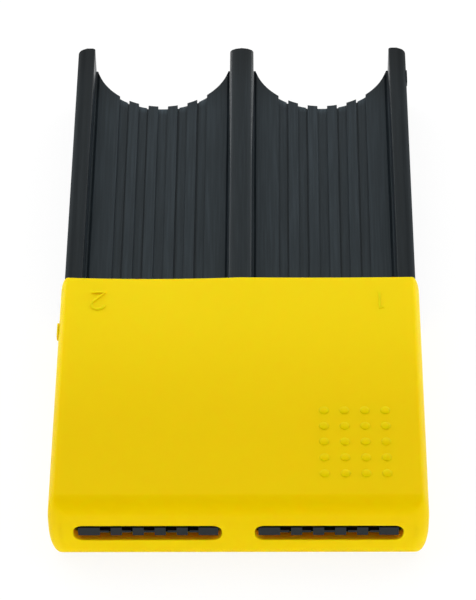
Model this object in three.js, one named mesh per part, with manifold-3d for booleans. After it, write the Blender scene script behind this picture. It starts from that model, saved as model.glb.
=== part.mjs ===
// A guard for four woodwind reeds: a tray with two reed channels on each face, and the cap that slides
// over the end where the reeds' tips lie. Each is one plastic moulding.
//
// Lengths are in millimetres. Both pieces are drawn about the tray's middle plane, Z = 0, with X across
// the tray and Y from the outside of the cap's closed end, Y = 0, to the open ends of the rails. The
// group that is exported then sets them on the cap's underside, with the origin under the middle.
import * as THREE from "three";
import { mergeVertices } from "three/addons/utils/BufferGeometryUtils.js";
import Module from "manifold-3d";

// The reed that a channel is made for, and its play
const REED_WIDTH = 16;
const REED_LENGTH = 72.5;
const REED_SIDE_PLAY = 1.1;
const REED_END_PLAY = 0.9;

// Rails: the height is the rail's rise above the floor where the cap covers it
const CENTRE_RAIL_WIDTH = 2.7;
const COVERED_RAIL_WIDTH = 1.45;
const COVERED_RAIL_HEIGHT = 2.9;
const RAIL_SHOULDER_RADIUS = 0.8;
const RAIL_EDGE_RADIUS = 0.15;

// Floor: a thin web with raised lands, alike on both faces
const WEB_THICKNESS = 0.4;
const LAND_HEIGHT = 0.45;
const GROOVE_COUNT = 5;
const GROOVE_WIDTH = 1.2;
const GROOVE_PITCH = 2.43;
const FOOT_GROOVE_WIDTH = 0.45;
const FOOT_GROOVE_FLAT = 0.2;
const FOOT_GROOVE_DEPTH = 0.3;
const FLOOR_SETBACK = 0.15;

// Thumb scoops: their centres lie a little past the rails' open ends
const SCOOP_RADIUS = 8.5;
const SCOOP_CENTRE_PAST_END = 1.55;

// Tongues: the floor's end, which shows in the cap's slots
const TONGUE_INSET = 0.75;
const TONGUE_RECESS = 0.2;

// Cap
const CAP_LENGTH = 34.5;
const CAP_WALL = 0.9;
const CAP_END_WALL = 1.2;
const CAP_SIDE_RADIUS = 2;
const CAP_END_RADIUS = 1.8;
const CAP_CORNER_RADIUS = 0.8;
const CAP_MOUTH_RADIUS = 0.6;
const CAP_RIM_RADIUS = 0.3;
const SLOT_RADIUS = 1;

// How the pieces fit: the cap's running gap, the gap at its seats, and its step over the open rails
const SLIDE_GAP = 0.2;
const SEAT_GAP = 0.3;
const SURFACE_STEP = 0.45;
const SLOT_SIDE_GAP = 0.45;
const SLOT_FACE_GAP = 0.65;

// How far a cutter runs past what it cuts, and a joined solid into its neighbour
const OVERRUN = 0.5;

// The last ring's corner radius at the closed end, as a share of the cap's long edges' radius
const END_CORNER_SHARE = 0.35;

// Facets in a quarter of a round edge, and round a whole scoop
const QUARTER_STEPS = 8;
const SCOOP_STEPS = 96;

// Worked out: the tray
const channelWidth = REED_WIDTH + REED_SIDE_PLAY;
const channelCentre = (CENTRE_RAIL_WIDTH + channelWidth) / 2;
const railFoot = CENTRE_RAIL_WIDTH / 2 + channelWidth;
const railStart = CAP_END_WALL + SEAT_GAP;
const railEnd = CAP_END_WALL + REED_LENGTH + REED_END_PLAY;
const shoulderStart = CAP_LENGTH + SEAT_GAP;
const webTop = WEB_THICKNESS / 2;
const landTop = webTop + LAND_HEIGHT;
const tongueWidth = channelWidth - 2 * TONGUE_INSET;

// Worked out: the cap round the covered rails, and the open rails a step below the cap's surface
const coveredHalfWidth = railFoot + COVERED_RAIL_WIDTH;
const coveredHalfHeight = landTop + COVERED_RAIL_HEIGHT;
const cavityHalfWidth = coveredHalfWidth + SLIDE_GAP;
const cavityHalfHeight = coveredHalfHeight + SLIDE_GAP;
const cavityRadius = CAP_SIDE_RADIUS - CAP_WALL;
const capHalfWidth = cavityHalfWidth + CAP_WALL;
const capHalfHeight = cavityHalfHeight + CAP_WALL;
const openHalfWidth = capHalfWidth - SURFACE_STEP;
const openHalfHeight = capHalfHeight - SURFACE_STEP;
const slotWidth = tongueWidth + 2 * SLOT_SIDE_GAP;
const slotHeight = 2 * (landTop + SLOT_FACE_GAP);

const wasm = await Module();
wasm.setup();

// A closed geometry as a solid that can be joined and cut.
function solidOf(geometry) {
  const bare = geometry.clone();
  bare.deleteAttribute("normal");
  bare.deleteAttribute("uv");
  const merged = mergeVertices(bare);
  return new wasm.Manifold(
    new wasm.Mesh({
      numProp: 3,
      vertProperties: new Float32Array(merged.attributes.position.array),
      triVerts: new Uint32Array(merged.index.array),
    }),
  );
}

// A finished solid as a named mesh in its material.
function meshOf(name, solid, material) {
  const { numProp, numVert, vertProperties, triVerts } = solid.getMesh();
  const positions = new Float32Array(numVert * 3);
  for (let i = 0; i < numVert; i++)
    positions.set(vertProperties.subarray(i * numProp, i * numProp + 3), i * 3);
  const geometry = new THREE.BufferGeometry();
  geometry.setAttribute("position", new THREE.BufferAttribute(positions, 3));
  geometry.setIndex(new THREE.BufferAttribute(triVerts, 1));
  geometry.computeVertexNormals();
  const mesh = new THREE.Mesh(geometry, material);
  mesh.name = name;
  return mesh;
}

// A shape drawn in X and Z, extruded along Y.
function alongY(shape, from, to) {
  const geometry = new THREE.ExtrudeGeometry(shape, {
    depth: to - from,
    bevelEnabled: false,
    curveSegments: QUARTER_STEPS,
  });
  return solidOf(geometry.rotateX(Math.PI / 2).translate(0, to, 0));
}

// A bar's section, the same above and below the middle plane, with a corner radius for each side.
function barShape(left, right, halfHeight, leftRadius, rightRadius) {
  const shape = new THREE.Shape();
  const corner = (x, z, radius, start) =>
    shape.absarc(x, z, radius, start, start + Math.PI / 2);
  shape.moveTo(left + leftRadius, -halfHeight);
  corner(right - rightRadius, rightRadius - halfHeight, rightRadius, -Math.PI / 2);
  corner(right - rightRadius, halfHeight - rightRadius, rightRadius, 0);
  corner(left + leftRadius, halfHeight - leftRadius, leftRadius, Math.PI / 2);
  corner(left + leftRadius, leftRadius - halfHeight, leftRadius, Math.PI);
  return shape;
}

// The tray's three rails over one stretch of their length.
function rails(halfWidth, halfHeight, outerRadius, from, to) {
  const left = barShape(-halfWidth, -railFoot, halfHeight, outerRadius, RAIL_EDGE_RADIUS);
  const right = barShape(railFoot, halfWidth, halfHeight, RAIL_EDGE_RADIUS, outerRadius);
  const half = CENTRE_RAIL_WIDTH / 2;
  const centre = barShape(-half, half, halfHeight, RAIL_SHOULDER_RADIUS, RAIL_SHOULDER_RADIUS);
  return [left, centre, right].map((shape) => alongY(shape, from, to));
}

// The upper outline of a ribbed floor, from the channel's centre rail side to its outer side.
function grooveOutline() {
  const points = [];
  for (let i = 0; i < GROOVE_COUNT; i++) {
    const centre = (i - (GROOVE_COUNT - 1) / 2) * GROOVE_PITCH;
    const near = centre - GROOVE_WIDTH / 2;
    const far = centre + GROOVE_WIDTH / 2;
    points.push([near, landTop], [near, webTop], [far, webTop], [far, landTop]);
  }
  return points;
}

// A floor between two outline ends, mirrored to the lower face, in the channel on the given side.
function ribbedFloor(side, innerEnd, outerEnd, from, to) {
  const upper = [...innerEnd, ...grooveOutline(), ...outerEnd];
  const lower = upper.map(([x, z]) => [x, -z]).reverse();
  const place = ([x, z]) => new THREE.Vector2(side * (channelCentre + x), z);
  return alongY(new THREE.Shape([...upper, ...lower].map(place)), from, to);
}

// The channel's floor runs into both rails, with a relief groove along the outer rail's foot.
function channelFloor(side) {
  const half = channelWidth / 2;
  const footBottom = landTop - FOOT_GROOVE_DEPTH;
  const innerEnd = [[-half - OVERRUN, landTop]];
  const outerEnd = [
    [half - FOOT_GROOVE_WIDTH, landTop],
    [half - FOOT_GROOVE_FLAT, footBottom],
    [half + OVERRUN, footBottom],
  ];
  const scoop = new THREE.CylinderGeometry(
    SCOOP_RADIUS,
    SCOOP_RADIUS,
    2 * (landTop + OVERRUN),
    SCOOP_STEPS,
  );
  scoop.rotateX(Math.PI / 2);
  scoop.translate(side * channelCentre, railEnd + SCOOP_CENTRE_PAST_END, 0);
  const floor = ribbedFloor(side, innerEnd, outerEnd, railStart, railEnd - FLOOR_SETBACK);
  return floor.subtract(solidOf(scoop));
}

// The tongue carries the same lands and grooves through the cap's slot.
function tongue(side) {
  const half = tongueWidth / 2;
  const ends = [[[-half, landTop]], [[half, landTop]]];
  return ribbedFloor(side, ...ends, TONGUE_RECESS, railStart + OVERRUN);
}

function reedTray() {
  const pieces = [
    ...rails(
      coveredHalfWidth,
      coveredHalfHeight,
      cavityRadius - SLIDE_GAP,
      railStart,
      shoulderStart + OVERRUN,
    ),
    ...rails(openHalfWidth, openHalfHeight, RAIL_SHOULDER_RADIUS, shoulderStart, railEnd),
    ...[-1, 1].map(channelFloor),
    ...[-1, 1].map(tongue),
  ];
  return pieces.reduce((tray, piece) => tray.add(piece));
}

// How far a quarter-round edge stands in from its face, at a depth below the end that it rounds.
function edgeInset(radius, depth) {
  return depth < radius ? radius - Math.sqrt(radius ** 2 - (radius - depth) ** 2) : 0;
}

// One ring of the cap's outside: a round-cornered section, inset at its sides, top and bottom.
function capRing(y, sideInset, faceInset) {
  const width = capHalfWidth - sideInset;
  const height = capHalfHeight - faceInset;
  const sharpening = ((1 - END_CORNER_SHARE) * faceInset) / CAP_END_RADIUS;
  const radius = CAP_SIDE_RADIUS * (1 - sharpening);
  const points = [];
  for (let corner = 0; corner < 4; corner++)
    for (let step = 0; step <= QUARTER_STEPS; step++) {
      const angle = ((corner + step / QUARTER_STEPS) * Math.PI) / 2;
      const signX = corner === 0 || corner === 3 ? 1 : -1;
      const signZ = corner < 2 ? 1 : -1;
      points.push([
        signX * (width - radius) + radius * Math.cos(angle),
        y,
        signZ * (height - radius) + radius * Math.sin(angle),
      ]);
    }
  return points;
}

// Rings with the same number of points, joined into a closed skin with a fan over each end.
function skinOver(rings) {
  const count = rings[0].length;
  const ends = [rings[0], rings[rings.length - 1]];
  const centres = ends.map((ring) => [0, ring[0][1], 0]);
  const positions = [...rings.flat(), ...centres].flat();
  const first = rings.length * count;
  const last = first + 1;
  const index = [];
  for (let i = 0; i < count; i++) {
    const next = (i + 1) % count;
    for (let r = 0; r + 1 < rings.length; r++) {
      const a = r * count;
      const b = a + count;
      index.push(a + i, b + i, a + next, a + next, b + i, b + next);
    }
    const end = (rings.length - 1) * count;
    index.push(first, i, next, last, end + next, end + i);
  }
  const geometry = new THREE.BufferGeometry();
  geometry.setAttribute("position", new THREE.Float32BufferAttribute(positions, 3));
  geometry.setIndex(index);
  return solidOf(geometry);
}

// The cap's outside: full end edges with tighter upright corners, and a fine rim at the mouth.
function capBody() {
  const rings = [];
  const angles = Array.from({ length: QUARTER_STEPS + 1 }, (_, i) => (i / QUARTER_STEPS) * (Math.PI / 2));
  for (const angle of angles) {
    const depth = CAP_END_RADIUS * (1 - Math.cos(angle));
    rings.push(
      capRing(depth, edgeInset(CAP_CORNER_RADIUS, depth), edgeInset(CAP_END_RADIUS, depth)),
    );
  }
  for (const angle of angles.reverse()) {
    const depth = CAP_MOUTH_RADIUS * (1 - Math.cos(angle));
    rings.push(
      capRing(
        CAP_LENGTH - depth,
        edgeInset(CAP_MOUTH_RADIUS, depth),
        edgeInset(CAP_RIM_RADIUS, depth),
      ),
    );
  }
  return skinOver(rings);
}

function slideCap() {
  const cavity = barShape(
    -cavityHalfWidth,
    cavityHalfWidth,
    cavityHalfHeight,
    cavityRadius,
    cavityRadius,
  );
  const slots = [-1, 1].map((side) => {
    const centre = side * channelCentre;
    const edges = [centre - slotWidth / 2, centre + slotWidth / 2];
    return barShape(...edges, slotHeight / 2, SLOT_RADIUS, SLOT_RADIUS);
  });
  const shell = capBody().subtract(alongY(cavity, CAP_END_WALL, CAP_LENGTH + OVERRUN));
  return slots.reduce(
    (cap, slot) => cap.subtract(alongY(slot, -OVERRUN, CAP_END_WALL + OVERRUN)),
    shell,
  );
}

const satinBlackPlastic = new THREE.MeshStandardMaterial({
  color: 0x2d3234,
  roughness: 0.45,
  metalness: 0,
});
const yellowPlastic = new THREE.MeshStandardMaterial({
  color: 0xe9cb04,
  roughness: 0.4,
  metalness: 0,
});

const guard = new THREE.Group();
guard.add(meshOf("reed_tray", reedTray(), satinBlackPlastic));
guard.add(meshOf("slide_cap", slideCap(), yellowPlastic));
guard.position.set(0, -railEnd / 2, capHalfHeight);

export default guard;
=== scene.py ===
"""A two-sided reed guard: its ribbed tray, its slide-on cap, and a plain white table to stand on.

Shapes are drawn in millimetres on a bench, where Y = 0 is the outside of the cap's closed end and
Z = 0 is the tray's middle plane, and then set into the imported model's frame.
"""

import math
from types import SimpleNamespace

import bmesh
import bpy
from mathutils import Matrix, Vector


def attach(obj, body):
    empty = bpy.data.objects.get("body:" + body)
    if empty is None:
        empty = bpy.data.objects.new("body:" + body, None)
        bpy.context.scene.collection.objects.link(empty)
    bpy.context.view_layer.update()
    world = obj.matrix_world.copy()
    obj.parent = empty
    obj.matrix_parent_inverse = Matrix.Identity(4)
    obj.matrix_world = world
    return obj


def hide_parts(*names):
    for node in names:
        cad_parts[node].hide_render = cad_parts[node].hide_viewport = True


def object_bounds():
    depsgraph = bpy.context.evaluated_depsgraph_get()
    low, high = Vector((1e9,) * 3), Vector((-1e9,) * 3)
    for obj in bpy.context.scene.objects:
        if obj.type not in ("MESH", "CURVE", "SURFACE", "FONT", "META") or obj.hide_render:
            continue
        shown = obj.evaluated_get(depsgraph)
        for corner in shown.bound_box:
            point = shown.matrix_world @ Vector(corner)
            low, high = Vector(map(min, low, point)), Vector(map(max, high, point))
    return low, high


bl_info = {
    "name": "Reed guard",
    "version": (1, 0, 0),
    "blender": (4, 5, 0),
    "location": "3D View > Sidebar > Reed guard",
    "description": "Builds a two-sided reed guard with a ribbed tray and a slide-on cap",
    "category": "Object",
}

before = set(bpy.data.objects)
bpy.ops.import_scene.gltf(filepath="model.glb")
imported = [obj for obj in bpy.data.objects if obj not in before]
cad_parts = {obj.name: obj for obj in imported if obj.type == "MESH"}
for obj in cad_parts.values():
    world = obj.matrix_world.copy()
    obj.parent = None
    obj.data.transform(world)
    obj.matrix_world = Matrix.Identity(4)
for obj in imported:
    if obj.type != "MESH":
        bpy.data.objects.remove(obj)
solid_low, solid_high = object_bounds()

MM = 0.001
# How much larger the oval rounds of the cap's sides grow where they run into the closed end
END_SWELL_SHARE = 0.2
# The highest stretch of an outer rail's top, as shares of its width under the cap. The outer of the
# two moves out where the rail steps out, and the inner stays
CROWN_SHARES = (0.2, 0.26)
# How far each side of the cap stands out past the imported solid's, in millimetres
SIDE_SPREAD = 0.08
# Corners this close are one corner, and corners this close to a place are at it, in millimetres
WELD_GAP = 1e-4
PLACE_GAP = 1e-3
# How far apart the cuts are that let the cap's faces dip, in millimetres
SAG_CUT_SPACING = 1.5
# The middle of a digit's width, as a share of its height
DIGIT_MIDDLE = 0.28
# The round on a gate stub's edges, as a share of its rise
STUB_ROUND_SHARE = 0.45
# The photographer's view, fitted to the photo: its elevation, yaw and roll in degrees, the eye's
# place in millimetres from the foot of the closed end, and the focal length and the photo's long
# side in pixels
VIEW_ANGLES = (46.88, -0.990, -0.850)
EYE_PLACE = (4.04, -213.70, 270.45)
FOCAL_PIXELS = 3081
PHOTO_PIXELS = 600
BENCH_TO_FRAME = Matrix.Translation(
    (0, solid_low.y, (solid_low.z + solid_high.z) / 2)
) @ Matrix.Scale(MM, 4)


def length(name, description, millimetres):
    """A length to change in the sidebar, with its default given in millimetres."""
    return bpy.props.FloatProperty(
        name=name,
        description=description,
        default=millimetres * MM,
        min=0.0,
        precision=5,
        subtype="DISTANCE",
        unit="LENGTH",
    )


def linear(hex_code):
    """An sRGB hex colour as the linear red, green and blue that Blender works in."""
    channels = [int(hex_code[i : i + 2], 16) / 255 for i in (1, 3, 5)]
    return tuple(
        c / 12.92 if c <= 0.04045 else ((c + 0.055) / 1.055) ** 2.4 for c in channels
    )


def colour(name, description, hex_code):
    """A colour to change in the sidebar, with its default given as sRGB hex."""
    return bpy.props.FloatVectorProperty(
        name=name,
        description=description,
        default=linear(hex_code),
        min=0.0,
        max=1.0,
        size=3,
        subtype="COLOR",
    )


class ReedGuardTraySizes(bpy.types.PropertyGroup):
    """Sizes of the tray's rails, floor, scoops and tongues."""

    centre_rail_width: length("Centre rail width", "Width of the middle rail", 2.95)
    channel_width: length("Channel width", "Clear width between two rails", 16.98)
    covered_rail_width: length("Covered rail width", "Outer rail's width under the cap", 1.5)
    covered_rail_top: length("Covered rail top", "Rail's height above the middle plane", 3.55)
    surface_step: length("Step at the mouth", "Rise of the open rails over the covered", 0.65)
    crown: length("Crown", "How far a rail's top falls to its long edges", 0.45)
    shoulder_radius: length("Shoulder radius", "Round on the centre rail's long edges", 0.35)
    outer_shoulder_radius: length("Outer shoulder", "Round on the tray's long sides", 0.65)
    inner_edge_radius: length("Inner edge radius", "Round on the outer rails' inner edge", 0.15)
    rail_start: length("Rail start", "Where the rails start inside the cap", 1.5)
    step_start: length("Step start", "Where the rails begin to step up", 34.65)
    step_length: length("Step length", "Length over which the rails step up", 0.15)
    rail_end: length("Rail end", "The open ends of the rails", 74.72)
    floor_setback: length("Floor setback", "How far the floor stops short of the rails", 0.27)
    land_top: length("Land top", "Height of the lands above the middle plane", 0.65)
    web_top: length("Groove bottom", "Height of the grooves above the middle plane", 0.17)
    groove_width: length("Groove width", "Width of a groove in the floor", 1.2)
    groove_pitch: length("Groove pitch", "Distance from groove to groove", 2.43)
    groove_drift: length("Groove drift", "How far all grooves lie to the right", 0.12)
    groove_corner: length("Groove corner", "Round on the grooves' edges", 0.04)
    slit_width: length("Slit width", "Width of the slit in a groove's corner", 0.2)
    slit_top: length("Slit bottom", "Height of the slits above the middle plane", 0.03)
    foot_groove_width: length("Foot groove width", "Relief along the outer rail's foot", 0.45)
    foot_groove_flat: length("Foot groove flat", "Flat bottom of that relief", 0.2)
    middle_foot_width: length("Middle foot width", "Relief along the centre rail's foot", 0.35)
    middle_foot_flat: length("Middle foot flat", "Flat bottom of that relief", 0.15)
    foot_groove_top: length("Foot groove bottom", "Height above the middle plane", 0.5)
    scoop_radius: length("Scoop radius", "Radius of the thumb scoops", 8.47)
    scoop_centre: length("Scoop centre", "Where the scoops are centred", 76.27)
    tongue_inset: length("Tongue inset", "How far a tongue stays off the channel's walls", 0.75)
    tongue_end: length("Tongue end", "Where the tongues end inside the slots", 0.17)


class ReedGuardCapSizes(bpy.types.PropertyGroup):
    """Sizes of the cap."""

    cap_length: length("Cap length", "From the closed end to the mouth", 34.5)
    half_width: length("Half width", "Half of the cap's width", solid_high.x / MM + SIDE_SPREAD)
    half_height: length(
        "Half height", "Half of the cap's height", (solid_high.z - solid_low.z) / MM / 2
    )
    wall: length("Wall", "Thickness of the cap's walls", 0.9)
    end_wall: length("End wall", "Thickness of the closed end", 1.2)
    side_radius: length("Side radius", "Round on the hollow's long edges, plus a wall", 2.0)
    edge_width: length("Edge width", "How far the outer oval round reaches in", 0.94)
    edge_height: length("Edge height", "How far that round reaches down", 3.97)
    end_radius: length("End radius", "Round from the faces to the closed end", 1.84)
    corner_radius: length("Corner radius", "Round from the sides to the closed end", 1.5)
    rim_radius: length("Rim radius", "Round on the mouth's outer edge", 0.1)
    inner_rim_radius: length("Inner rim radius", "Round inside the mouth", 0.15)
    slot_centre: length("Slot centre", "Slot's distance from the middle", 10.03)
    slot_width: length("Slot width", "Length of a slot across the end", 16.4)
    slot_height: length("Slot height", "Height of a slot", 2.45)
    slot_radius: length("Slot radius", "Round on the slot's corners", 1.0)
    slot_drop: length("Slot drop", "How far the slots lie below the middle plane", 0.12)
    slot_rim_radius: length("Slot rim radius", "Break on the slot's outer edge", 0.1)
    left_sag: length("Left sag", "Dip of the faces over the left channels at the mouth", 0.26)
    right_sag: length("Right sag", "The same over the right channels", 0.08)
    sag_reach: length("Sag reach", "How far that dip runs back from the mouth", 14.0)


class ReedGuardMarkSizes(bpy.types.PropertyGroup):
    """Sizes of the raised numbers, the grip studs and the moulding marks."""

    number_height: length("Number height", "Height of a raised number", 2.95)
    number_stroke: length("Number stroke", "Width of a number's stroke", 0.34)
    number_rise: length("Number rise", "Height of a number above the face", 0.07)
    number_centre_x: length("Number offset", "Distance of a number from the middle", 16.4)
    number_centre_y: length("Number place", "Distance of a number from the closed end", 30.8)
    stud_diameter: length("Stud diameter", "Diameter of a grip stud", 1.1)
    stud_rise: length("Stud rise", "Height of a grip stud", 0.16)
    stud_pitch: length("Stud pitch", "Distance from stud to stud", 2.3)
    stud_field_x: length("Stud field offset", "Middle of the studs from the centre line", 13.0)
    stud_field_y: length("Stud field place", "Middle of the studs from the closed end", 9.2)
    gate_length: length("Gate length", "Length of a gate stub", 2.0)
    gate_height: length("Gate height", "Height of a gate stub", 0.9)
    tray_gate_rise: length("Tray gate rise", "How far the tray's stub stands out", 0.1)
    tray_gate_y: length("Tray gate place", "Its distance from the closed end", 70.35)
    tray_gate_z: length("Tray gate level", "Its height above the middle plane", 3.0)
    cap_gate_rise: length("Cap gate rise", "How far the cap's stub stands out", 0.12)
    cap_gate_y: length("Cap gate place", "Its distance from the closed end", 27.9)
    cap_gate_z: length("Cap gate level", "Its height above the middle plane", 2.4)
    studs_across: bpy.props.IntProperty(
        name="Studs across", description="Studs in a row", default=4, min=1
    )
    studs_along: bpy.props.IntProperty(
        name="Rows of studs", description="Rows of studs", default=5, min=1
    )


class ReedGuardFinishes(bpy.types.PropertyGroup):
    """Colours of the two plastics and the table."""

    tray_black: colour("Tray", "Blue-black of the tray's plastic", "#20282D")
    tray_scuff: colour("Tray scuffs", "Paler tone where the tray is rubbed", "#2F383E")
    cap_yellow: colour("Cap", "Yellow of the cap's plastic", "#E8C700")
    cap_deep: colour("Cap, deep tone", "Yellow where the pigment lies thicker", "#E6C400")
    # Painted light: a paler yellow laid on at the mouth and along the foot of the walls
    cap_thin: colour("Cap, thin tone", "Yellow at the mouth, where light comes through", "#F2D40A")
    # Painted shade: an orange laid on inside the slots
    cap_slot: colour("Cap, slots", "Orange of light that has come through the end wall", "#FF9A00")
    table_white: colour("Table", "White of the table", "#FBFBFB")


def in_mm(sizes):
    """The lengths of a property group as plain numbers in millimetres."""
    found = {}
    for prop in sizes.bl_rna.properties:
        if prop.type == "FLOAT" and prop.unit == "LENGTH":
            found[prop.identifier] = round(getattr(sizes, prop.identifier) / MM, 4)
    return SimpleNamespace(**found)


def add_node(tree, kind, inputs=None, **settings):
    """Adds a node with its settings, and gives each named input a value or a link."""
    node = tree.nodes.new(kind)
    for name, value in settings.items():
        setattr(node, name, value)
    for name, value in (inputs or {}).items():
        if isinstance(value, bpy.types.NodeSocket):
            tree.links.new(value, node.inputs[name])
        else:
            node.inputs[name].default_value = value
    return node


def per_metre(millimetres):
    """A texture's scale for features of that size."""
    return 1 / (millimetres * MM)


def opaque(rgb):
    """A linear colour with an alpha of one."""
    return (*rgb, 1.0)


def empty_material(name):
    """A material with no nodes, ready to be filled."""
    material = bpy.data.materials.new(name)
    material.use_nodes = True
    material.node_tree.nodes.clear()
    return material


def bench_y(millimetres):
    """The frame's Y at that distance from the cap's closed end."""
    return solid_low.y + millimetres * MM


def maths(tree, operation, *values):
    """The result of one piece of arithmetic on numbers and sockets."""
    inputs = dict(enumerate(values))
    return add_node(tree, "ShaderNodeMath", inputs, operation=operation).outputs[0]


def ramp(tree, along, start, end, before=0.0, after=1.0, **settings):
    """A value that goes from before to after while another one goes from start to end."""
    inputs = {"Value": along, "From Min": start, "From Max": end, "To Min": before, "To Max": after}
    return add_node(tree, "ShaderNodeMapRange", inputs, **settings).outputs[0]


def blend(tree, second_part, first, second):
    """A colour between two others."""
    inputs = {0: second_part, 6: first, 7: second}
    return add_node(tree, "ShaderNodeMix", inputs, data_type="RGBA").outputs[2]


def noise(tree, place, millimetres, detail, **inputs):
    """Noise with features of that size."""
    inputs.update(Vector=place, Scale=per_metre(millimetres), Detail=detail)
    return add_node(tree, "ShaderNodeTexNoise", inputs).outputs[0]


def bump(tree, height, strength, millimetres, **inputs):
    """A bump of that depth, over another one if that is given as its Normal."""
    inputs.update(Height=height, Strength=strength, Distance=millimetres * MM)
    return add_node(tree, "ShaderNodeBump", inputs).outputs[0]


def places_of(tree, place):
    """A place's Y and Z, and how far it is off the upright and off the level middle plane."""
    axes = add_node(tree, "ShaderNodeSeparateXYZ", {"Vector": place}).outputs
    above = maths(tree, "SUBTRACT", axes["Z"], (solid_low.z + solid_high.z) / 2)
    return SimpleNamespace(
        along=axes["Y"],
        up=axes["Z"],
        across=maths(tree, "ABSOLUTE", axes["X"]),
        height=maths(tree, "ABSOLUTE", above),
    )


def channel_walls(s):
    """How far the two walls of a channel are from the guard's middle."""
    half_rail = s.centre_rail_width / 2
    return half_rail, half_rail + s.channel_width


def worn_web_ends(tree, at, s):
    """A painted highlight: how much paler the thin webs in the grooves are beside the scoops, where
    light catches their ends.
    """
    flat = add_node(tree, "ShaderNodeCombineXYZ", {"X": at.across, "Y": at.along})
    scoop = (sum(channel_walls(s)) / 2 * MM, bench_y(s.scoop_centre), 0)
    off_scoop = add_node(
        tree, "ShaderNodeVectorMath", {0: flat.outputs[0], 1: scoop}, operation="DISTANCE"
    )
    # It fades out over the first 1 mm
    rim = s.scoop_radius * MM
    near_rim = ramp(tree, off_scoop.outputs["Value"], rim, rim + 1 * MM, 1.4, 0.0)
    # Only on the webs' own faces, give or take 0.03 mm, and not on their cut ends
    on_web = maths(tree, "COMPARE", at.height, s.web_top * MM, 0.03 * MM)
    return maths(tree, "MULTIPLY_ADD", near_rim, on_web, 1.0)


def worn_roughness(tree, at, s, moulded):
    """The black plastic's roughness. Reeds burnish the rails' shoulders over the open half, the cap
    and fingers rub the rails' tops matt, and hands and cases rub the outer sides mattest."""
    # The burnish sets in between 53 and 59 mm from the closed end
    burnished = ramp(tree, at.along, bench_y(53), bench_y(59), moulded, 0.2)
    wall = channel_walls(s)[1]
    # What each step depends on, where it starts and ends in millimetres, and what it leads to
    steps = (
        (at.height, 3.3, 3.6, burnished),
        (at.height, 3.75, 3.95, 0.5),
        (at.across, wall + 0.9, wall + 1.3, 0.75),
    )
    roughness = moulded
    for along, start, end, after in steps:
        roughness = ramp(tree, along, start * MM, end * MM, roughness, after)
    return roughness


def moulded_black_styrene(finishes):
    """High-impact polystyrene moulded in a fine spark-eroded tool: a dark satin with a cool cast,
    slightly paler along the way that the cap rubs."""
    material = empty_material("moulded_black_styrene")
    tree = material.node_tree
    s = in_mm(bpy.context.scene.reed_guard_tray)
    place = add_node(tree, "ShaderNodeTexCoord").outputs["Object"]
    at = places_of(tree, place)
    # Rub marks, 0.25 mm wide and drawn out along the slide
    drawn = add_node(tree, "ShaderNodeMapping", {"Vector": place, "Scale": (1, 0.03, 1)})
    rub = noise(tree, drawn.outputs[0], 0.25, 2.0)
    rub_part = ramp(tree, rub, 0.42, 0.75, 0.0, 0.8)
    tone = blend(tree, rub_part, opaque(finishes.tray_black), opaque(finishes.tray_scuff))
    # Pigment clouding, 7 mm across
    cloud_value = ramp(tree, noise(tree, place, 7, 3.0), 0.0, 1.0, 0.92, 1.08)
    # Painted shade darkens the rails' tops, the outer ones more, and everything over the last 8 mm
    wall = channel_walls(s)[1]
    top_painted_shade = ramp(tree, at.across, (wall - 0.1) * MM, (wall + 0.1) * MM, 0.5, 0.3)
    rail_painted_shade = ramp(tree, at.height, 3 * MM, 4 * MM, 1.0, top_painted_shade)
    far_end = solid_high.y
    far_end_painted_shade = ramp(
        tree, at.along, far_end - 8 * MM, far_end, 1.0, 0.4, interpolation_type="SMOOTHSTEP"
    )
    # Painted shade darkens the tongues' last millimetre, where they sit in the slots
    tongue_painted_shade = ramp(tree, at.along, bench_y(0.6), bench_y(1.6), 0.25, 1.0)
    value = cloud_value
    for part in (rail_painted_shade, far_end_painted_shade, tongue_painted_shade, worn_web_ends(tree, at, s)):
        value = maths(tree, "MULTIPLY", value, part)
    # This value holds the pigment clouding together with the painted shade and the painted highlight
    clouded_and_painted = add_node(tree, "ShaderNodeHueSaturation", {"Color": tone, "Value": value})
    # Spark-eroded grain, drawn at 0.2 mm so that it shows
    grained = bump(tree, noise(tree, place, 0.2, 2.0), 0.15, 0.02)
    # Chatter left by the cutter that sank the rails into the mould, 0.35 mm apart across each rail
    chatter = add_node(
        tree,
        "ShaderNodeTexWave",
        {"Vector": place, "Scale": per_metre(0.35) * math.pi / 10, "Distortion": 1.5},
        bands_direction="Y",
    )
    on_rails = ramp(tree, at.height, 3.8 * MM, 4.1 * MM)
    chattered = maths(tree, "MULTIPLY", chatter.outputs["Fac"], on_rails)
    moulded = ramp(tree, rub, 0.3, 0.7, 0.34, 0.44)
    shader = add_node(
        tree,
        "ShaderNodeBsdfPrincipled",
        {
            "Base Color": clouded_and_painted.outputs[0],
            "Roughness": worn_roughness(tree, at, s, moulded),
            "Normal": bump(tree, chattered, 0.2, 0.004, Normal=grained),
            "IOR": 1.59,
            "Specular IOR Level": 0.155,
            "Specular Tint": (0.84, 0.96, 1.0, 1.0),
        },
    )
    add_node(tree, "ShaderNodeOutputMaterial", {"Surface": shader.outputs[0]})
    return material


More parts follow.
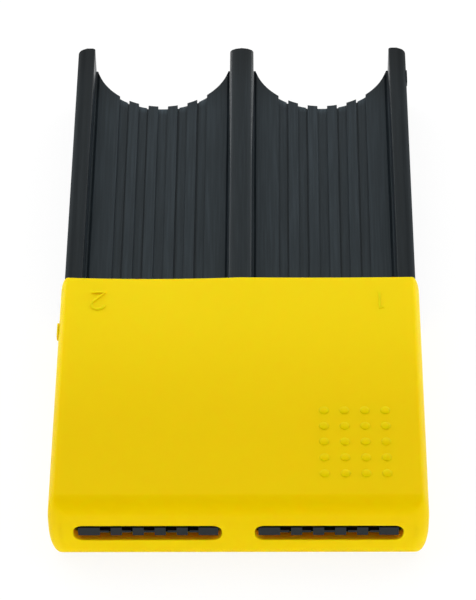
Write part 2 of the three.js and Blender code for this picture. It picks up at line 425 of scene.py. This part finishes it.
def moulded_yellow_styrene(finishes):
    """Polystyrene with a strong yellow pigment, moulded in a fine matt tool: a smooth, even satin
    whose edges catch a soft white gleam."""
    material = empty_material("moulded_yellow_styrene")
    tree = material.node_tree
    s = in_mm(bpy.context.scene.reed_guard_cap)
    place = add_node(tree, "ShaderNodeTexCoord").outputs["Object"]
    at = places_of(tree, place)
    # Pigment flow, clouds 9 mm across drawn out from the gate
    drawn = add_node(tree, "ShaderNodeMapping", {"Vector": place, "Scale": (0.6, 1, 1)})
    flow = noise(tree, drawn.outputs[0], 9, 3.0, Distortion=0.6)
    tone = blend(tree, flow, opaque(finishes.cap_deep), opaque(finishes.cap_yellow))
    # Painted light: the yellow turns paler over the lowest 6 mm of the wall, for the bounce up from
    # the white table, and at the mouth, over the last 25 mm
    painted_bounce_part = ramp(tree, at.up, solid_low.z + 6 * MM, solid_low.z)
    mouth = bench_y(s.cap_length)
    painted_light_part = ramp(
        tree, at.along, mouth - 25 * MM, mouth, painted_bounce_part, interpolation_type="SMOOTHSTEP"
    )
    painted_light_tone = blend(tree, painted_light_part, tone, opaque(finishes.cap_thin))
    # Painted shade: inside the slots the colour turns orange inwards, standing in for warm light
    # bounced between yellow walls
    slot_side = s.slot_centre + s.slot_width / 2 + s.slot_rim_radius
    slot_reach = s.slot_height / 2 + s.slot_drop
    # What each limit depends on, and where its part is 0 and 1
    limits = (
        (at.across, (slot_side + s.slot_rim_radius) * MM, slot_side * MM),
        (at.height, (slot_reach + s.slot_rim_radius) * MM, slot_reach * MM),
        (at.along, bench_y(s.end_wall - 0.02), bench_y(s.end_wall - 0.12)),
        (at.along, bench_y(0), bench_y(0.8)),
    )
    painted_slot_shade = 1.0
    for along, nothing, full in limits:
        painted_slot_shade = ramp(tree, along, nothing, full, 0.0, painted_slot_shade)
    # Handling polish, patches 4 mm across
    polish = noise(tree, place, 4, 4.0)
    # Matt tool grain, drawn at 0.18 mm so that it shows
    grain = noise(tree, place, 0.18, 2.0)
    shader = add_node(
        tree,
        "ShaderNodeBsdfPrincipled",
        {
            "Base Color": blend(tree, painted_slot_shade, painted_light_tone, opaque(finishes.cap_slot)),
            "Roughness": ramp(tree, polish, 0.3, 0.7, 0.5, 0.58),
            "Normal": bump(tree, grain, 0.1, 0.02),
            "IOR": 1.59,
            "Specular IOR Level": 0.08,
            "Subsurface Weight": 0.45,
            "Subsurface Radius": (1.0, 0.5, 0.05),
            "Subsurface Scale": 1.0 * MM,
            "Specular Tint": opaque(linear("#FFD800")),
        },
    )
    add_node(tree, "ShaderNodeOutputMaterial", {"Surface": shader.outputs[0]})
    return material


def finished(kind):
    """The named plastic, made the first time that it is asked for."""
    made = bpy.data.materials.get(kind.__name__)
    return made or kind(bpy.context.scene.reed_guard_finishes)


def faces_at(bm, y):
    """The faces that lie wholly in the plane at that Y."""
    return [f for f in bm.faces if all(abs(v.co.y - y) < WELD_GAP for v in f.verts)]


def push(bm, faces, distance):
    """Extrudes faces along Y, and returns the new end faces. Their edges go in with them, so that
    the old faces don't stay behind inside a solid."""
    edges = list(dict.fromkeys(e for f in faces for e in f.edges))
    made = bmesh.ops.extrude_face_region(bm, geom=[*faces, *edges])["geom"]
    verts = [g for g in made if isinstance(g, bmesh.types.BMVert)]
    bmesh.ops.translate(bm, verts=verts, vec=(0, distance, 0))
    return [g for g in made if isinstance(g, bmesh.types.BMFace)]


def round_off(bm, geom, radius, segments, affect="EDGES"):
    """Rounds edges or corners."""
    bmesh.ops.bevel(
        bm,
        geom=geom,
        offset=radius,
        offset_type="OFFSET",
        segments=segments,
        profile=0.5,
        affect=affect,
        clamp_overlap=False,
        material=-1,
    )


def smooth_by_angle(bm, degrees=32):
    """Smooth shading, with a sharp edge where two faces meet at more than that angle."""
    for face in bm.faces:
        face.smooth = True
    for edge in bm.edges:
        edge.smooth = not (edge.is_manifold and edge.calc_face_angle() > math.radians(degrees))


# The material, body and slot of what is moulded with the tray, and with the cap
WITH_TRAY = (moulded_black_styrene, "tray", "black_plastic")
WITH_CAP = (moulded_yellow_styrene, "cap", "yellow_plastic")


def piece(name, bm, moulding, stands_for=()):
    """A finished piece from a bench mesh: closed, outward, in the frame and riding on its body."""
    material, body, slot = moulding
    bmesh.ops.remove_doubles(bm, verts=bm.verts, dist=WELD_GAP)
    bmesh.ops.recalc_face_normals(bm, faces=bm.faces)
    if not all(edge.is_manifold for edge in bm.edges):
        raise RuntimeError(f"{name} isn't a closed mesh")
    smooth_by_angle(bm)
    bmesh.ops.transform(bm, matrix=BENCH_TO_FRAME, verts=bm.verts)
    mesh = bpy.data.meshes.new(name)
    bm.to_mesh(mesh)
    bm.free()
    made = bpy.data.objects.new(name, mesh)
    bpy.context.scene.collection.objects.link(made)
    mesh.materials.append(finished(material))
    normals = made.modifiers.new("Flat faces stay flat", "WEIGHTED_NORMAL")
    normals.keep_sharp = True
    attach(made, body)
    if stands_for:
        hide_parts(*stands_for)


def cut_away(bm, cutters):
    """Cuts closed meshes out of another with Boolean modifiers, and returns the result."""
    held = []
    for mesh_in in [bm, *cutters]:
        data = bpy.data.meshes.new("cutting")
        mesh_in.to_mesh(data)
        mesh_in.free()
        held.append(bpy.data.objects.new("cutting", data))
        bpy.context.scene.collection.objects.link(held[-1])
    for cutter in held[1:]:
        cut = held[0].modifiers.new("Cut", "BOOLEAN")
        cut.operation = "DIFFERENCE"
        cut.solver = "EXACT"
        cut.object = cutter
    bpy.context.view_layer.update()
    graph = bpy.context.evaluated_depsgraph_get()
    result = bmesh.new()
    result.from_mesh(held[0].evaluated_get(graph).to_mesh())
    for item in held:
        bpy.data.meshes.remove(item.data)
    return result


def slit_corners(wall, inward, s):
    """A slit's corners, from the foot of a groove's wall to the groove's bottom."""
    edge = wall + inward * s.slit_width
    return [(wall, s.slit_top), (edge, s.slit_top), (edge, s.web_top)]


def tray_section(bm, s):
    """The tray's section at its covered end, as one face in the plane Y = 0.

    A quarter of it is a line of corners, each with its round, from the middle of the centre rail to
    the outer rail's side. It is mirrored to the lower face and to the left."""
    half_rail, wall = channel_walls(s)
    outer = wall + s.covered_rail_width
    channel_centre = (half_rail + wall) / 2
    edge_top = s.covered_rail_top - s.crown
    corners = [
        (0, s.covered_rail_top, 0),
        (half_rail / 2, s.covered_rail_top - s.crown / 4, 0),
        (half_rail, edge_top, s.shoulder_radius),
        (half_rail, s.foot_groove_top, s.groove_corner),
        (half_rail + s.middle_foot_flat, s.foot_groove_top, s.groove_corner),
        (half_rail + s.middle_foot_width, s.land_top, s.groove_corner),
        (half_rail + s.tongue_inset, s.land_top, 0),
    ]
    for step in (-2, -1, 0, 1, 2):
        centre = channel_centre + step * s.groove_pitch
        near, far = centre - s.groove_width / 2, centre + s.groove_width / 2
        bottom = [(near, s.web_top), (far, s.web_top)]
        # A slit along the foot of the wall that is nearer to the channel's middle
        if step < 0:
            bottom[1:] = slit_corners(far, -1, s)[::-1]
        elif step > 0:
            bottom[:1] = slit_corners(near, 1, s)
        corners.append((near, s.land_top, s.groove_corner))
        corners += [(x, z, 0) for x, z in bottom]
        corners.append((far, s.land_top, s.groove_corner))
    corners += [
        (wall - s.tongue_inset, s.land_top, 0),
        (wall - s.foot_groove_width, s.land_top, s.groove_corner),
        (wall - s.foot_groove_flat, s.foot_groove_top, s.groove_corner),
        (wall, s.foot_groove_top, s.groove_corner),
        (wall, s.covered_rail_top - s.crown / 4, s.inner_edge_radius),
        (wall + s.covered_rail_width * CROWN_SHARES[0], s.covered_rail_top, 0),
        (wall + s.covered_rail_width * CROWN_SHARES[1], s.covered_rail_top, 0),
        (outer, edge_top, s.outer_shoulder_radius),
        (outer, 0, 0),
    ]
    verts = [bm.verts.new((x, 0, z)) for x, z, _ in corners]
    for start, end in zip(verts, verts[1:]):
        bm.edges.new((start, end))
    for axis in ("Z", "X"):
        bmesh.ops.mirror(bm, geom=bm.verts[:] + bm.edges[:], merge_dist=WELD_GAP, axis=axis)
        bmesh.ops.remove_doubles(bm, verts=bm.verts, dist=WELD_GAP)
    bmesh.ops.contextual_create(bm, geom=bm.edges[:])
    for radius in sorted({r for _, _, r in corners if r}):
        spots = [(x, z) for x, z, r in corners if r == radius]
        turned = [
            v
            for v in bm.verts
            if any(math.dist((abs(v.co.x), abs(v.co.z)), spot) < PLACE_GAP for spot in spots)
        ]
        # A larger round gets more segments
        segments = max(2, round(10 * math.sqrt(radius)))
        round_off(bm, turned, radius, segments, affect="VERTICES")
    # The five grooves, with half a pitch beside them, drift to the right
    for vert in bm.verts:
        if abs(abs(vert.co.x) - channel_centre) < 2.5 * s.groove_pitch:
            vert.co.x += s.groove_drift


def split_across(bm, y, x, reach):
    """Splits the end face at that Y along upright lines at that X, left and right, each between the
    two corners of the section there that lie within reach of the middle plane."""
    for middle in (-x, x):
        ends = [
            v
            for v in bm.verts
            if math.dist(v.co.xy, (middle, y)) < PLACE_GAP and abs(v.co.z) < reach
        ]
        ends.sort(key=lambda v: v.co.z)
        bmesh.ops.connect_verts(bm, verts=[ends[0], ends[-1]])


def tray_mesh(s):
    """The tray: its section drawn out, stepped up past the cap, scooped, and its tongues."""
    half_rail, wall = channel_walls(s)
    bm = bmesh.new()
    tray_section(bm, s)
    end = push(bm, bm.faces[:], s.step_start - s.rail_start)
    end = push(bm, end, s.step_length)
    for vert in {v for f in end for v in f.verts}:
        if abs(vert.co.z) > s.covered_rail_top / 2:
            vert.co.z += math.copysign(s.surface_step, vert.co.z)
        if abs(vert.co.x) > wall + s.covered_rail_width * sum(CROWN_SHARES) / 2:
            vert.co.x += math.copysign(s.surface_step, vert.co.x)
    stepped = s.step_start + s.step_length
    push(bm, end, s.rail_end - s.floor_setback - stepped)
    bmesh.ops.translate(bm, verts=bm.verts, vec=(0, s.rail_start, 0))

    # The rails run on past the floor
    floor_end = s.rail_end - s.floor_setback
    for x in (half_rail, wall):
        split_across(bm, floor_end, x, s.land_top)
    rails = [
        f
        for f in faces_at(bm, floor_end)
        if max(abs(v.co.z) for v in f.verts) > s.covered_rail_top
    ]
    push(bm, rails, s.floor_setback)

    # The tongues run on through the cap's slots
    for x in (half_rail + s.tongue_inset, wall - s.tongue_inset):
        split_across(bm, s.rail_start, x, s.covered_rail_top)
    tongues = [
        f
        for f in faces_at(bm, s.rail_start)
        if max(abs(v.co.z) for v in f.verts) < s.land_top + PLACE_GAP
    ]
    push(bm, tongues, s.tongue_end - s.rail_start)
    bmesh.ops.recalc_face_normals(bm, faces=bm.faces)

    # The cutters for the scoops stand well out of the floor on both faces
    scoops = []
    for side in (-1, 1):
        scoop = bmesh.new()
        bmesh.ops.create_cone(
            scoop,
            cap_ends=True,
            segments=160,
            radius1=s.scoop_radius,
            radius2=s.scoop_radius,
            depth=3 * s.land_top,
        )
        spot = (side * (half_rail + wall) / 2, s.scoop_centre, 0)
        bmesh.ops.translate(scoop, verts=scoop.verts, vec=spot)
        scoops.append(scoop)
    return cut_away(bm, scoops)


def box_mesh(low, high):
    """A closed block between two corners."""
    bm = bmesh.new()
    bmesh.ops.create_cube(bm, size=1)
    low, high = Vector(low), Vector(high)
    bmesh.ops.scale(bm, verts=bm.verts, vec=high - low)
    bmesh.ops.translate(bm, verts=bm.verts, vec=(low + high) / 2)
    return bm


def long_edges(bm):
    """The edges that run along Y."""
    return [e for e in bm.edges if abs(e.verts[0].co.y - e.verts[1].co.y) > PLACE_GAP]


def corner_edges(bm, y, s, inside):
    """The edges where the cap's walls meet the plane at that Y, inside the hollow or outside."""
    bm.normal_update()
    found = []
    for edge in bm.edges:
        if any(abs(v.co.y - y) > WELD_GAP for v in edge.verts):
            continue
        turns = {round(abs(f.normal.y)) for f in edge.link_faces}
        hollow = all(inside_cavity(v, s) for v in edge.verts)
        if turns == {0, 1} and hollow == inside:
            found.append(edge)
    return found


def inset_of(radius, depth):
    """How far a quarter round stands in from its face, at a depth below the end it rounds."""
    return radius - math.sqrt(radius**2 - (radius - depth) ** 2) if depth < radius else 0


def cap_mesh(s):
    """The cap: a block with rounded edges, hollowed from its mouth and slotted through its end."""
    bm = box_mesh(
        (-s.half_width, 0, -s.half_height), (s.half_width, s.cap_length, s.half_height)
    )
    round_off(bm, long_edges(bm), s.side_radius, 12)
    mouth = faces_at(bm, s.cap_length)
    bmesh.ops.inset_region(bm, faces=mouth, thickness=s.wall, use_even_offset=True)
    push(bm, mouth, s.end_wall - s.cap_length)

    round_off(bm, corner_edges(bm, s.cap_length, s, inside=True), s.inner_rim_radius, 3)
    round_off(bm, corner_edges(bm, s.cap_length, s, inside=False), s.rim_radius, 3)
    round_off(bm, corner_edges(bm, 0, s, inside=False), s.end_radius, 12)
    shape_outside(bm, s)

    slots = []
    for side in (-1, 1):
        left = side * s.slot_centre - s.slot_width / 2
        slot = box_mesh(
            (left, -s.end_wall, -s.slot_height / 2 - s.slot_drop),
            (left + s.slot_width, 2 * s.end_wall, s.slot_height / 2 - s.slot_drop),
        )
        round_off(slot, long_edges(slot), s.slot_radius, 8)
        slots.append(slot)
    bm = cut_away(bm, slots)
    round_off(bm, corner_edges(bm, 0, s, inside=False), s.slot_rim_radius, 3)
    let_sag(bm, s)
    return bm


def shape_outside(bm, s):
    """Turns the outside's even rounds into the real ones, which are oval along the sides and up the
    corners of the closed end."""
    for vert in bm.verts:
        if inside_cavity(vert, s):
            continue
        x, y, z = vert.co
        bearing = math.atan2(
            abs(z) - s.half_height + s.side_radius, abs(x) - s.half_width + s.side_radius
        )
        rim = inset_of(s.rim_radius, s.cap_length - y)
        side = s.half_width - inset_of(s.corner_radius, y) - rim
        top = s.half_height - inset_of(s.end_radius, y) - rim
        swell = 1 + END_SWELL_SHARE * inset_of(s.end_radius, y) / s.end_radius
        wide, tall = s.edge_width * swell, min(s.edge_height * swell, top)
        vert.co.x = math.copysign(side - wide * (1 - math.cos(bearing)), x)
        vert.co.z = math.copysign(top - tall * (1 - math.sin(bearing)), z)


def let_sag(bm, s):
    """Cuts the faces finely and lets them dip between the rails towards the mouth."""
    half_count = math.floor((s.half_width - s.wall) / SAG_CUT_SPACING)
    across = [i * SAG_CUT_SPACING for i in range(-half_count, half_count + 1)]
    count = math.ceil(s.sag_reach / SAG_CUT_SPACING)
    along = [s.cap_length - i * SAG_CUT_SPACING for i in range(1, count + 1)]
    for normal, places in ((Vector((1, 0, 0)), across), (Vector((0, 1, 0)), along)):
        for place in places:
            bmesh.ops.bisect_plane(
                bm,
                geom=bm.verts[:] + bm.edges[:] + bm.faces[:],
                plane_co=normal * place,
                plane_no=normal,
                dist=WELD_GAP / 10,
            )
    half_span = s.half_width - s.wall - s.slot_centre
    for vert in bm.verts:
        if abs(vert.co.z) < s.half_height - 2 * s.wall:
            continue
        across_part = 1 - ((abs(vert.co.x) - s.slot_centre) / half_span) ** 2
        along_part = 1 - (s.cap_length - vert.co.y) / s.sag_reach
        if across_part > 0 and along_part > 0:
            depth = s.right_sag if vert.co.x > 0 else s.left_sag
            dip = depth * across_part * along_part**2
            vert.co.z -= math.copysign(dip, vert.co.z)


def inside_cavity(vert, s):
    """Whether a vertex is on the hollow's wall or floor, not on the cap's outside."""
    return (
        vert.co.y > s.end_wall - PLACE_GAP
        and abs(vert.co.x) < s.half_width - s.wall + s.inner_rim_radius + PLACE_GAP
        and abs(vert.co.z) < s.half_height - s.wall + s.inner_rim_radius + PLACE_GAP
    )


class REEDGUARD_OT_stage(bpy.types.Operator):
    """Sets up the white table, the soft studio light and the camera."""

    bl_idname = "reed_guard.stage"
    bl_label = "Set up the studio"

    def execute(self, context):
        finishes = context.scene.reed_guard_finishes
        numbers_below = in_mm(context.scene.reed_guard_marks).number_rise * MM
        bm = bmesh.new()
        bmesh.ops.create_circle(bm, cap_ends=True, segments=64, radius=2.0)
        bmesh.ops.translate(bm, verts=bm.verts, vec=(0, 0, -numbers_below))
        mesh = bpy.data.meshes.new("table")
        bm.to_mesh(mesh)
        bm.free()
        table = bpy.data.objects.new("table", mesh)
        context.scene.collection.objects.link(table)
        mesh.materials.append(table_paint(finishes))
        light_the_world(context.scene)
        # Name, place and size in metres, and watts; the two behind draw a gleam along the rails
        softboxes = (
            ("overhead", (-0.2, 0.23, 1.1), 0.9, 1.0),
            ("front", (0.1, -1.2, 0.05), 0.9, 13.0),
            ("back_left", (-0.8, 0.75, 0.22), 0.22, 1.4),
            ("back_right", (0.8, 0.75, 0.22), 0.22, 1.0),
        )
        for name, spot, size, watts in softboxes:
            softbox = bpy.data.lights.new(f"{name}_softbox", "AREA")
            softbox.shape = "DISK"
            softbox.size = size
            softbox.energy = watts
            lamp = bpy.data.objects.new(f"{name}_softbox", softbox)
            lamp.location = spot
            lamp.rotation_euler = Vector(spot).to_track_quat("Z", "Y").to_euler()
            context.scene.collection.objects.link(lamp)
        set_camera(context.scene)
        context.scene.view_settings.view_transform = "Standard"
        return {"FINISHED"}


def seen_directly(tree):
    """One for camera, glossy and transmission rays, and nought for the rays that light things."""
    path = add_node(tree, "ShaderNodeLightPath").outputs
    either = maths(tree, "MAXIMUM", path["Is Camera Ray"], path["Is Glossy Ray"])
    return maths(tree, "MAXIMUM", either, path["Is Transmission Ray"])


def table_paint(finishes):
    """A white laminate table: it reads as white and keeps a soft shadow under the guard."""
    material = empty_material("white_laminate")
    tree = material.node_tree
    plain = add_node(tree, "ShaderNodeBsdfDiffuse", {"Color": opaque(finishes.table_white)})
    # Seen directly, most of its white is a glow of 0.87, and a grey of 0.17 draws the shadow
    faint = add_node(tree, "ShaderNodeBsdfDiffuse", {"Color": (0.17, 0.17, 0.17, 1)})
    glow = add_node(tree, "ShaderNodeEmission", {"Strength": 0.87})
    bright = add_node(tree, "ShaderNodeAddShader", {0: faint.outputs[0], 1: glow.outputs[0]})
    mixed = add_node(
        tree,
        "ShaderNodeMixShader",
        {0: seen_directly(tree), 1: plain.outputs[0], 2: bright.outputs[0]},
    )
    add_node(tree, "ShaderNodeOutputMaterial", {"Surface": mixed.outputs[0]})
    return material


def light_the_world(scene):
    """A white studio, darker for lighting on the side where the photographer stands."""
    world = bpy.data.worlds.new("white_studio")
    world.use_nodes = True
    tree = world.node_tree
    tree.nodes.clear()
    direction = add_node(tree, "ShaderNodeTexCoord").outputs["Generated"]
    towards = add_node(
        tree,
        "ShaderNodeVectorMath",
        {0: direction, 1: (0, -math.sqrt(0.5), math.sqrt(0.5))},
        operation="DOT_PRODUCT",
    )
    # Full strength is 1.42. It fades from 58 to 41 degrees off the photographer, by their cosines
    facing = towards.outputs["Value"]
    shade = ramp(tree, facing, 0.53, 0.75, 1.42, 0.0, interpolation_type="SMOOTHSTEP")
    white = (1, 1, 1, 1)
    ambient = add_node(tree, "ShaderNodeBackground", {"Strength": shade, "Color": white})
    backdrop = add_node(tree, "ShaderNodeBackground", {"Strength": 1.0, "Color": white})
    mixed = add_node(
        tree,
        "ShaderNodeMixShader",
        {0: seen_directly(tree), 1: ambient.outputs[0], 2: backdrop.outputs[0]},
    )
    add_node(tree, "ShaderNodeOutputWorld", {"Surface": mixed.outputs[0]})
    scene.world = world


def set_camera(scene):
    """The photographer's view: from above the closed end, almost square on."""
    elevation, yaw, roll = (math.radians(angle) for angle in VIEW_ANGLES)
    ahead = Vector(
        (
            math.sin(yaw) * math.cos(elevation),
            math.cos(yaw) * math.cos(elevation),
            -math.sin(elevation),
        )
    )
    level = Vector((math.cos(yaw), -math.sin(yaw), 0))
    upright = level.cross(ahead)
    right = math.cos(roll) * level + math.sin(roll) * upright
    up = math.cos(roll) * upright - math.sin(roll) * level
    camera = bpy.data.cameras.new("camera")
    camera.sensor_fit = "AUTO"
    camera.sensor_width = 36.0
    camera.lens = camera.sensor_width * FOCAL_PIXELS / PHOTO_PIXELS
    made = bpy.data.objects.new("camera", camera)
    turn = Matrix((right, up, -ahead)).transposed()
    eye = Vector(EYE_PLACE) * MM + Vector((0, solid_low.y, 0))
    made.matrix_world = Matrix.Translation(eye) @ turn.to_4x4()
    scene.collection.objects.link(made)
    scene.camera = made


class REEDGUARD_OT_tray(bpy.types.Operator):
    """Builds the ribbed tray in place of the plain solid."""

    bl_idname = "reed_guard.tray"
    bl_label = "Build the tray"

    def execute(self, context):
        bm = tray_mesh(in_mm(context.scene.reed_guard_tray))
        piece("ribbed_tray", bm, WITH_TRAY, ("reed_tray",))
        return {"FINISHED"}


class REEDGUARD_OT_cap(bpy.types.Operator):
    """Builds the slotted cap in place of the plain solid."""

    bl_idname = "reed_guard.cap"
    bl_label = "Build the cap"

    def execute(self, context):
        bm = cap_mesh(in_mm(context.scene.reed_guard_cap))
        piece("slotted_cap", bm, WITH_CAP, ("slide_cap",))
        return {"FINISHED"}


def number_strokes(digit):
    """The centre line of a digit's strokes, in a frame where the digit is 1 high, from its left."""

    def arc(x, y, radius, start, end, count=14):
        turns = [math.radians(start + (end - start) * i / count) for i in range(count + 1)]
        return [(x + radius * math.cos(a), y + radius * math.sin(a)) for a in turns]

    return {
        1: [[(0.18, 0.9), (0.34, 1.0), (0.34, 0.0)]],
        2: [[*arc(0.29, 0.72, 0.29, 170, -38), (0.0, 0.0), (0.6, 0.0)]],
        3: [[*arc(0.25, 0.76, 0.24, 150, -90), *arc(0.25, 0.26, 0.26, 90, -150)]],
        4: [[(0.4, 0.0), (0.4, 1.0), (0.0, 0.3), (0.56, 0.3)]],
    }[digit]


def raised_number(digit, s, place, upside):
    """A digit in raised half-round strokes, read from the tray's side, on one of the cap's faces."""
    curve = bpy.data.curves.new("strokes", "CURVE")
    curve.dimensions = "3D"
    curve.bevel_depth = s.number_stroke / 2
    curve.bevel_resolution = 3
    curve.use_fill_caps = True
    height = s.number_height - s.number_stroke
    for stroke in number_strokes(digit):
        spline = curve.splines.new("POLY")
        spline.points.add(len(stroke) - 1)
        for point, (x, y) in zip(spline.points, stroke):
            point.co = ((x - DIGIT_MIDDLE) * height, (y - 0.5) * height, 0, 1)
    held = bpy.data.objects.new("strokes", curve)
    bpy.context.scene.collection.objects.link(held)
    bpy.context.view_layer.update()
    bm = bmesh.new()
    graph = bpy.context.evaluated_depsgraph_get()
    bm.from_mesh(held.evaluated_get(graph).to_mesh())
    bpy.data.objects.remove(held)
    bmesh.ops.scale(bm, verts=bm.verts, vec=(1, 1, s.number_rise / (s.number_stroke / 2)))
    turned = Matrix.Rotation(math.pi, 4, "Z")
    if upside < 0:
        turned = Matrix.Rotation(math.pi, 4, "Y") @ turned
    bmesh.ops.transform(bm, matrix=Matrix.Translation(place) @ turned, verts=bm.verts)
    piece(f"raised_number_{digit}", bm, WITH_CAP)


class REEDGUARD_OT_numbers(bpy.types.Operator):
    """Raises the numbers 1 to 4 on the cap, one for each channel."""

    bl_idname = "reed_guard.numbers"
    bl_label = "Raise the numbers"

    def execute(self, context):
        s = in_mm(context.scene.reed_guard_marks)
        cap = in_mm(context.scene.reed_guard_cap)
        for digit, side, upside in ((1, 1, 1), (2, -1, 1), (3, -1, -1), (4, 1, -1)):
            place = (side * s.number_centre_x, s.number_centre_y, upside * cap.half_height)
            raised_number(digit, s, place, upside)
        return {"FINISHED"}


class REEDGUARD_OT_grip(bpy.types.Operator):
    """Raises a field of low round studs that a thumb grips to draw the cap off."""

    bl_idname = "reed_guard.grip"
    bl_label = "Raise the grip studs"

    def execute(self, context):
        marks = context.scene.reed_guard_marks
        s = in_mm(marks)
        top = in_mm(context.scene.reed_guard_cap).half_height
        bm = bmesh.new()
        for column in range(marks.studs_across):
            for row in range(marks.studs_along):
                x = s.stud_field_x + (column - (marks.studs_across - 1) / 2) * s.stud_pitch
                y = s.stud_field_y + (row - (marks.studs_along - 1) / 2) * s.stud_pitch
                dome = Matrix.Translation((x, y, top)) @ Matrix.Diagonal(
                    (s.stud_diameter / 2, s.stud_diameter / 2, s.stud_rise, 1)
                )
                bmesh.ops.create_uvsphere(bm, u_segments=32, v_segments=16, radius=1, matrix=dome)
        piece("grip_studs", bm, WITH_CAP)
        return {"FINISHED"}


class REEDGUARD_OT_gates(bpy.types.Operator):
    """Adds the two small stubs where the moulding gates were snapped off."""

    bl_idname = "reed_guard.gates"
    bl_label = "Add the gate stubs"

    def execute(self, context):
        tray = in_mm(context.scene.reed_guard_tray)
        cap = in_mm(context.scene.reed_guard_cap)
        s = in_mm(context.scene.reed_guard_marks)
        right = channel_walls(tray)[1] + tray.covered_rail_width + tray.surface_step
        left = -cap.half_width
        # Name, moulding, the X of the side it stands on, Y, Z and rise
        stubs = (
            ("tray_gate_stub", WITH_TRAY, right, s.tray_gate_y, s.tray_gate_z, s.tray_gate_rise),
            ("cap_gate_stub", WITH_CAP, left, s.cap_gate_y, s.cap_gate_z, s.cap_gate_rise),
        )
        for name, moulding, x, y, z, rise in stubs:
            reach = Vector((rise, s.gate_length / 2, s.gate_height / 2))
            bm = box_mesh(Vector((x, y, z)) - reach, Vector((x, y, z)) + reach)
            round_off(bm, bm.edges[:], rise * STUB_ROUND_SHARE, 3)
            piece(name, bm, moulding)
        return {"FINISHED"}


class REEDGUARD_PT_panel(bpy.types.Panel):
    """Lists the guard's sizes and the buttons that build it."""

    bl_idname = "REEDGUARD_PT_panel"
    bl_label = "Reed guard"
    bl_space_type = "VIEW_3D"
    bl_region_type = "UI"
    bl_category = "Reed guard"

    def draw(self, context):
        for operator in OPERATORS:
            self.layout.operator(operator.bl_idname)
        for name in SETTINGS:
            group = getattr(context.scene, name)
            box = self.layout.box()
            for prop in group.bl_rna.properties:
                if prop.identifier not in ("rna_type", "name"):
                    box.prop(group, prop.identifier)


OPERATORS = (
    REEDGUARD_OT_stage,
    REEDGUARD_OT_tray,
    REEDGUARD_OT_cap,
    REEDGUARD_OT_numbers,
    REEDGUARD_OT_grip,
    REEDGUARD_OT_gates,
)
SETTINGS = {
    "reed_guard_tray": ReedGuardTraySizes,
    "reed_guard_cap": ReedGuardCapSizes,
    "reed_guard_marks": ReedGuardMarkSizes,
    "reed_guard_finishes": ReedGuardFinishes,
}


def register():
    """Registers the settings, the operators and the panel."""
    for group in SETTINGS.values():
        bpy.utils.register_class(group)
    for name, group in SETTINGS.items():
        setattr(bpy.types.Scene, name, bpy.props.PointerProperty(type=group))
    for operator in OPERATORS:
        bpy.utils.register_class(operator)
    bpy.utils.register_class(REEDGUARD_PT_panel)


def unregister():
    """Takes them all out again."""
    bpy.utils.unregister_class(REEDGUARD_PT_panel)
    for operator in reversed(OPERATORS):
        bpy.utils.unregister_class(operator)
    for name in reversed(SETTINGS):
        delattr(bpy.types.Scene, name)
        bpy.utils.unregister_class(SETTINGS[name])


def main():
    """Builds everything."""
    register()
    bpy.ops.reed_guard.stage()
    bpy.ops.reed_guard.tray()
    bpy.ops.reed_guard.cap()
    bpy.ops.reed_guard.numbers()
    bpy.ops.reed_guard.grip()
    bpy.ops.reed_guard.gates()


if __name__ == "__main__":
    main()
